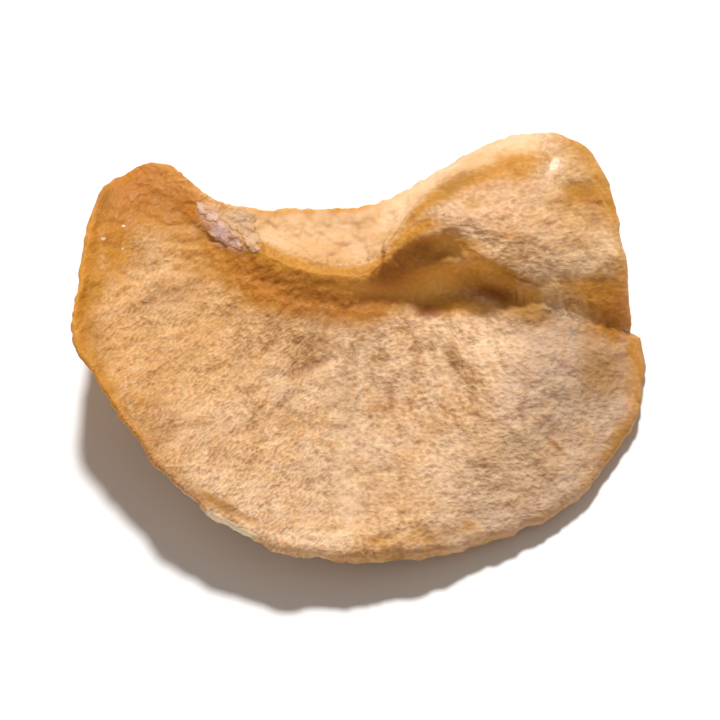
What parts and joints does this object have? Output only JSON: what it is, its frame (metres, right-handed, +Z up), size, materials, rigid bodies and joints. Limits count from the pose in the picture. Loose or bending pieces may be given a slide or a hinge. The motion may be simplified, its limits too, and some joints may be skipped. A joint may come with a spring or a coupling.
{
  "type": "dried apple slice",
  "caption": "Thick slice of dried apple: a warped half-moon of flesh with the core scooped out, one raised horn and one horn folded over onto the face.",
  "frame": {"origin": "centre of the slice's bounding box, on the floor it rests on", "axes": "+Z up from the floor; +X towards the folded horn's side; +Y from the round rim towards the scooped core notch"},
  "size_m": [0.0574, 0.0468, 0.0168],
  "materials": {
    "dried_apple": "dry, finely wrinkled pale tan flesh with thin amber, slightly glossy edges"
  },
  "bodies": {
    "root": {"apple_slice": "dried_apple"}
  },
  "joints": []
}
